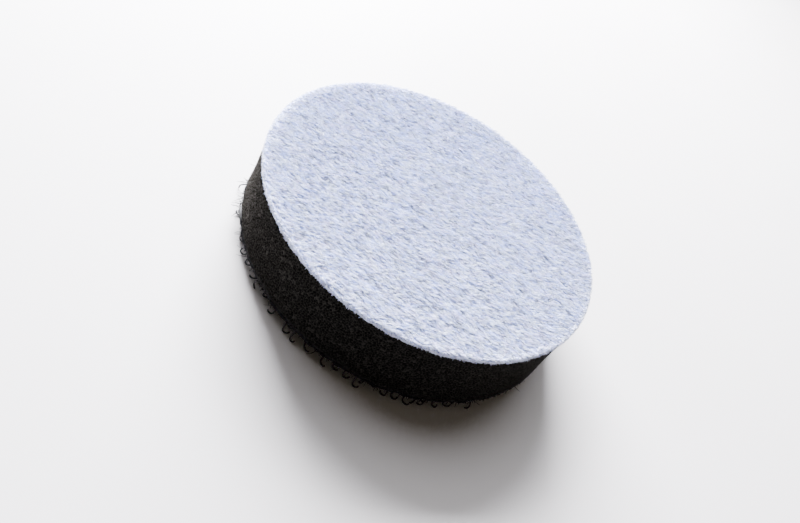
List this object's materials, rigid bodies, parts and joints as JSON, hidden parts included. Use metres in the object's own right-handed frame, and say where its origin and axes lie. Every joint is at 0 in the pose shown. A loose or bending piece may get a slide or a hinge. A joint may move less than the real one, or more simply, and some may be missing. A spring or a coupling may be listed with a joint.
{
  "type": "hook-and-loop foam polishing pad",
  "caption": "Round foam polishing pad with a brushed loop face on top and a woven hook tape underneath, which grips a small polisher's loop-faced disc.",
  "frame": {"origin": "on the pad's axis, in the plane of the hook tips that the pad rests on", "axes": "+Z along the pad's axis towards the brushed loop face; X along the hook rows, whose tips point to +X in odd rows and to -X in even rows; Y across the rows"},
  "size_m": [0.05, 0.05, 0.0126],
  "materials": {
    "loop_nap": "matte",
    "loop_knit": "matte",
    "adhesive": "satin",
    "foam": "matte",
    "back_coating": "satin",
    "hook_tape": "matte",
    "hook_filament": "satin"
  },
  "bodies": {
    "hook_side": {"hook_tape_ground": "hook_tape", "hook_back_coating": "back_coating", "hook_adhesive_film": "adhesive", "foam_core": "foam", "hook_row_01": "hook_filament", "hook_row_02": "hook_filament", "hook_row_03": "hook_filament", "hook_row_04": "hook_filament", "hook_row_05": "hook_filament", "hook_row_06": "hook_filament", "hook_row_07": "hook_filament", "hook_row_08": "hook_filament", "hook_row_09": "hook_filament", "hook_row_10": "hook_filament", "hook_row_11": "hook_filament", "hook_row_12": "hook_filament", "hook_row_13": "hook_filament", "hook_row_14": "hook_filament", "hook_row_15": "hook_filament", "hook_row_16": "hook_filament", "hook_row_17": "hook_filament", "hook_row_18": "hook_filament", "hook_row_19": "hook_filament", "hook_row_20": "hook_filament", "hook_row_21": "hook_filament", "hook_row_22": "hook_filament", "hook_row_23": "hook_filament", "hook_row_24": "hook_filament", "hook_row_25": "hook_filament", "hook_row_26": "hook_filament", "hook_row_27": "hook_filament", "hook_row_28": "hook_filament", "hook_row_29": "hook_filament", "hook_row_30": "hook_filament", "hook_row_31": "hook_filament", "hook_row_32": "hook_filament", "hook_row_33": "hook_filament", "hook_row_34": "hook_filament", "hook_row_35": "hook_filament", "hook_row_36": "hook_filament", "hook_row_37": "hook_filament", "hook_row_38": "hook_filament"},
    "loop_face": {"loop_adhesive_film": "adhesive", "loop_ground_knit": "loop_knit", "loop_pile": "loop_nap"}
  },
  "joints": [
    {"name": "foam_compression", "type": "slide", "parent": "hook_side", "child": "loop_face", "axis": [0, 0, 1], "range_m": [-0.0045, 0], "stiffness_N_per_m": 4000, "deforming": ["foam_core"]}
  ]
}
